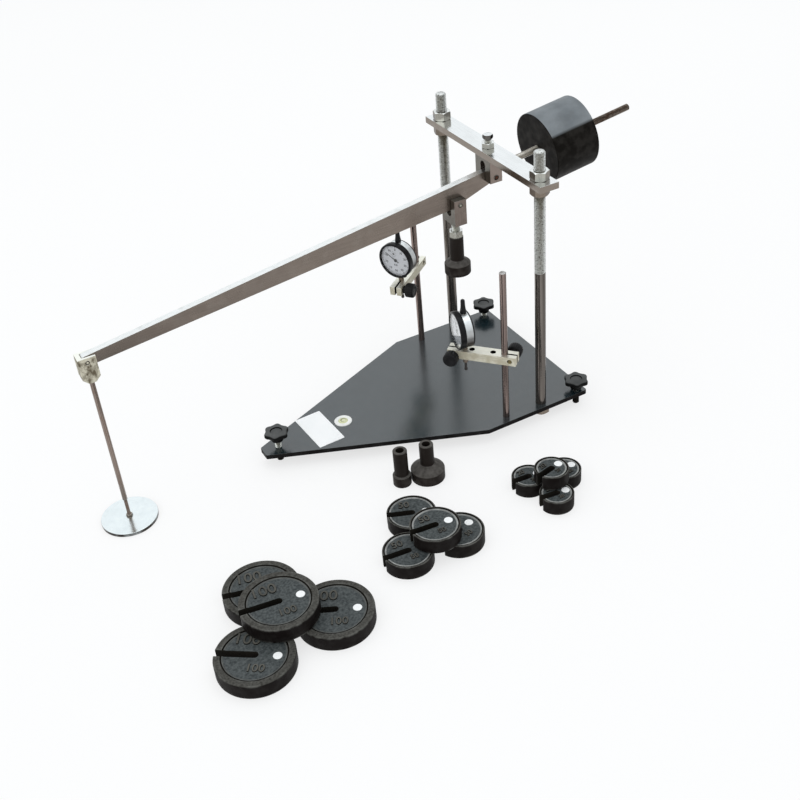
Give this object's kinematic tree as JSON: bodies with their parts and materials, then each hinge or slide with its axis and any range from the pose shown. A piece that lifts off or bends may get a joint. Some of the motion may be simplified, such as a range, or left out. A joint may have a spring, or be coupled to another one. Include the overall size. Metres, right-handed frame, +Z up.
{
  "type": "rebound modulus tester",
  "caption": "Lever press for soil rebound modulus: base plate on levelling screws, columns and crossbar, weighted lever with hanger and counterweight, dial gauges and slotted weights.",
  "frame": {"origin": "on the base plate's top face, midway between the gauge posts, under the load axis", "axes": "+X from the hanger towards the counterweight, +Y towards the left column seen from the hanger end, +Z up"},
  "size_m": [0.9146, 0.5741, 0.4395],
  "materials": {
    "plate_black": "semi-gloss black paint",
    "level_white": "white moulded ring",
    "level_vial": "clear vial with yellow-green liquid",
    "column_steel": "ground and polished",
    "zinc": "bright zinc plating",
    "bright_plate": "bright plating over milled steel",
    "pin_steel": "turned steel",
    "rod_steel": "threaded steel with a brown oil film",
    "satin_black": "satin black paint",
    "black_oxide": "black oxide",
    "cream_cast": "rough cream coating",
    "hanger_steel": "polished, brownish",
    "mirror_plate": "mirror bright",
    "knob_black": "moulded black",
    "yellow_plate": "pale yellow passivated zinc",
    "gauge_chrome": "satin chrome",
    "dial_white": "printed white dial",
    "bezel_black": "black ring",
    "clear_glass": "clear crystal",
    "needle_black": "black pointer",
    "weight_black": "black paint, worn to brown at the edges"
  },
  "bodies": {
    "base": {"base_plate": "plate_black", "level_housing": "level_white", "level_glass": "level_vial", "left_column": "column_steel", "right_column": "column_steel", "column_foot_nuts": "zinc"},
    "crossbar": {"crossbar": "bright_plate", "crossbar_nuts": "zinc", "fulcrum_fork": "bright_plate", "fulcrum_pin": "pin_steel", "fulcrum_bolt": "zinc", "fulcrum_nut": "zinc"},
    "lever": {"lever_bar": "bright_plate", "balance_rod": "rod_steel"},
    "counterweight": {"counterweight": "satin_black"},
    "load_head": {"load_fork": "bright_plate", "load_pin": "pin_steel", "load_stud": "zinc", "load_nut": "zinc", "loading_head": "black_oxide"},
    "hanger": {"hanger_block": "cream_cast", "hanger_pin": "pin_steel", "hanger_rod": "hanger_steel", "hanger_plate": "mirror_plate", "hanger_nut": "zinc"},
    "front_screw": {"front_levelling_screw": "zinc"},
    "front_knob": {"front_levelling_knob": "knob_black"},
    "left_screw": {"left_levelling_screw": "zinc"},
    "left_knob": {"left_levelling_knob": "knob_black"},
    "right_screw": {"right_levelling_screw": "zinc"},
    "right_knob": {"right_levelling_knob": "knob_black"},
    "left_post": {"left_post": "column_steel"},
    "left_arm": {"left_arm": "yellow_plate"},
    "left_post_screw": {"left_post_screw": "knob_black"},
    "left_stem_screw": {"left_stem_screw": "knob_black"},
    "left_gauge": {"left_gauge_case": "gauge_chrome", "left_gauge_dial": "dial_white"},
    "left_bezel": {"left_gauge_bezel": "bezel_black", "left_gauge_glass": "clear_glass"},
    "left_needle": {"left_gauge_needle": "needle_black"},
    "left_plunger": {"left_gauge_plunger": "pin_steel"},
    "right_post": {"right_post": "column_steel"},
    "right_arm": {"right_arm": "yellow_plate"},
    "right_post_screw": {"right_post_screw": "knob_black"},
    "right_stem_screw": {"right_stem_screw": "knob_black"},
    "right_gauge": {"right_gauge_case": "gauge_chrome", "right_gauge_dial": "dial_white"},
    "right_bezel": {"right_gauge_bezel": "bezel_black", "right_gauge_glass": "clear_glass"},
    "right_needle": {"right_gauge_needle": "needle_black"},
    "right_plunger": {"right_gauge_plunger": "pin_steel"},
    "small_spare_head": {"spare_head_small": "black_oxide"},
    "large_spare_head": {"spare_head_large": "black_oxide"},
    "large_weights_lower": {"large_weights_lower": "weight_black"},
    "large_weight_upper": {"large_weight_upper": "weight_black"},
    "medium_weights_lower": {"medium_weights_lower": "weight_black"},
    "medium_weight_upper": {"medium_weight_upper": "weight_black"},
    "small_weights_lower": {"small_weights_lower": "weight_black"},
    "small_weight_upper": {"small_weight_upper": "weight_black"}
  },
  "joints": [
    {"name": "crossbar_height", "type": "slide", "parent": "base", "child": "crossbar", "axis": [0, 0, 1], "range_m": [-0.1, 0.025]},
    {"name": "lever_tilt", "type": "hinge", "parent": "crossbar", "child": "lever", "pos_m": [0.063, 0, 0.3337], "axis": [0, 1, 0], "range_deg": [0, 15]},
    {"name": "counterweight_slide", "type": "slide", "parent": "lever", "child": "counterweight", "axis": [0.9915, 0, 0.1302], "range_m": [-0.045, 0.08]},
    {"name": "load_head_swing", "type": "hinge", "parent": "lever", "child": "load_head", "pos_m": [0.00301, 0, 0.30666], "axis": [0, 1, 0], "range_deg": [-15, 15]},
    {"name": "hanger_swing", "type": "hinge", "parent": "lever", "child": "hanger", "pos_m": [-0.56164, 0, 0.2517], "axis": [0, 1, 0], "range_deg": [-20, 20]},
    {"name": "front_screw_rise", "type": "slide", "parent": "base", "child": "front_screw", "axis": [0, 0, 1], "range_m": [-0.006, 0.009]},
    {"name": "front_knob_turn", "type": "hinge", "parent": "front_screw", "child": "front_knob", "pos_m": [-0.3225, 0, 0.015], "axis": [0, 0, 1], "range_deg": [-1441, 2161]},
    {"name": "left_screw_rise", "type": "slide", "parent": "base", "child": "left_screw", "axis": [0, 0, 1], "range_m": [-0.006, 0.009]},
    {"name": "left_knob_turn", "type": "hinge", "parent": "left_screw", "child": "left_knob", "pos_m": [0.126, 0.134, 0.015], "axis": [0, 0, 1], "range_deg": [-1441, 2161]},
    {"name": "right_screw_rise", "type": "slide", "parent": "base", "child": "right_screw", "axis": [0, 0, 1], "range_m": [-0.0015, 0.009]},
    {"name": "right_knob_turn", "type": "hinge", "parent": "right_screw", "child": "right_knob", "pos_m": [0.126, -0.134, 0.015], "axis": [0, 0, 1], "range_deg": [-361, 2161]},
    {"name": "left_arm_swing", "type": "hinge", "parent": "base", "child": "left_post", "pos_m": [0, 0.13, 0.1], "axis": [0, 0, 1], "range_deg": [-40, 40]},
    {"name": "left_arm_height", "type": "slide", "parent": "left_post", "child": "left_arm", "axis": [0, 0, 1], "range_m": [-0.1, 0.09]},
    {"name": "left_post_screw_turn", "type": "hinge", "parent": "left_arm", "child": "left_post_screw", "pos_m": [0.00765, 0.13613, 0.142], "axis": [-0.6252, 0.7804, 0], "range_deg": [0, 180]},
    {"name": "left_stem_screw_turn", "type": "hinge", "parent": "left_arm", "child": "left_stem_screw", "pos_m": [-0.05955, 0.08229, 0.142], "axis": [0.6252, -0.7804, 0], "range_deg": [0, 180]},
    {"name": "left_gauge_turn", "type": "hinge", "parent": "left_arm", "child": "left_gauge", "pos_m": [-0.04745, 0.09198, 0.149], "axis": [0, 0, 1], "range_deg": [-45, 45]},
    {"name": "left_bezel_turn", "type": "hinge", "parent": "left_gauge", "child": "left_bezel", "pos_m": [-0.04745, 0.09198, 0.189], "axis": [-0.887, -0.4617, 0], "continuous": true},
    {"name": "left_plunger_travel", "type": "slide", "parent": "left_gauge", "child": "left_plunger", "axis": [0, 0, 1], "range_m": [0, 0.01], "stiffness_N_per_m": 40, "springref_m": -0.015},
    {"name": "left_needle_turn", "type": "hinge", "parent": "left_gauge", "child": "left_needle", "pos_m": [-0.04745, 0.09198, 0.189], "axis": [0.887, 0.4617, 0], "range_deg": [0, 3601]},
    {"name": "right_arm_swing", "type": "hinge", "parent": "base", "child": "right_post", "pos_m": [0, -0.13, 0.1], "axis": [0, 0, 1], "range_deg": [-40, 40]},
    {"name": "right_arm_height", "type": "slide", "parent": "right_post", "child": "right_arm", "axis": [0, 0, 1], "range_m": [-0.07, 0.12]},
    {"name": "right_post_screw_turn", "type": "hinge", "parent": "right_arm", "child": "right_post_screw", "pos_m": [0.00644, -0.13739, 0.1063], "axis": [0.7536, 0.6574, 0], "range_deg": [0, 180]},
    {"name": "right_stem_screw_turn", "type": "hinge", "parent": "right_arm", "child": "right_stem_screw", "pos_m": [-0.05016, -0.0725, 0.1063], "axis": [-0.7536, -0.6574, 0], "range_deg": [0, 180]},
    {"name": "right_gauge_turn", "type": "hinge", "parent": "right_arm", "child": "right_gauge", "pos_m": [-0.03997, -0.08418, 0.1133], "axis": [0, 0, 1], "range_deg": [-45, 45]},
    {"name": "right_bezel_turn", "type": "hinge", "parent": "right_gauge", "child": "right_bezel", "pos_m": [-0.03997, -0.08418, 0.1471], "axis": [-0.9792, 0.2028, 0], "continuous": true},
    {"name": "right_plunger_travel", "type": "slide", "parent": "right_gauge", "child": "right_plunger", "axis": [0, 0, 1], "range_m": [0, 0.01], "stiffness_N_per_m": 40, "springref_m": -0.015},
    {"name": "right_needle_turn", "type": "hinge", "parent": "right_gauge", "child": "right_needle", "pos_m": [-0.03997, -0.08418, 0.1471], "axis": [0.9792, -0.2028, 0], "range_deg": [0, 3601]},
    {"name": "small_spare_head_lift", "type": "slide", "parent": "base", "child": "small_spare_head", "axis": [0, 0, 1], "range_m": [0, 0.12]},
    {"name": "large_spare_head_lift", "type": "slide", "parent": "base", "child": "large_spare_head", "axis": [0, 0, 1], "range_m": [0, 0.12]},
    {"name": "large_weights_lift", "type": "slide", "parent": "base", "child": "large_weights_lower", "axis": [0, 0, 1], "range_m": [0, 0.15]},
    {"name": "large_upper_weight_lift", "type": "slide", "parent": "large_weights_lower", "child": "large_weight_upper", "axis": [0, 0, 1], "range_m": [0, 0.12]},
    {"name": "medium_weights_lift", "type": "slide", "parent": "base", "child": "medium_weights_lower", "axis": [0, 0, 1], "range_m": [0, 0.15]},
    {"name": "medium_upper_weight_lift", "type": "slide", "parent": "medium_weights_lower", "child": "medium_weight_upper", "axis": [0, 0, 1], "range_m": [0, 0.12]},
    {"name": "small_weights_lift", "type": "slide", "parent": "base", "child": "small_weights_lower", "axis": [0, 0, 1], "range_m": [0, 0.15]},
    {"name": "small_upper_weight_lift", "type": "slide", "parent": "small_weights_lower", "child": "small_weight_upper", "axis": [0, 0, 1], "range_m": [0, 0.12]}
  ],
  "couplings": [
    {"joint": "front_knob_turn", "follows": "front_screw_rise", "rad_per_m": 4188.8},
    {"joint": "left_knob_turn", "follows": "left_screw_rise", "rad_per_m": 4188.8},
    {"joint": "right_knob_turn", "follows": "right_screw_rise", "rad_per_m": 4188.8},
    {"joint": "left_needle_turn", "follows": "left_plunger_travel", "rad_per_m": 6283.2},
    {"joint": "right_needle_turn", "follows": "right_plunger_travel", "rad_per_m": 6283.2}
  ]
}
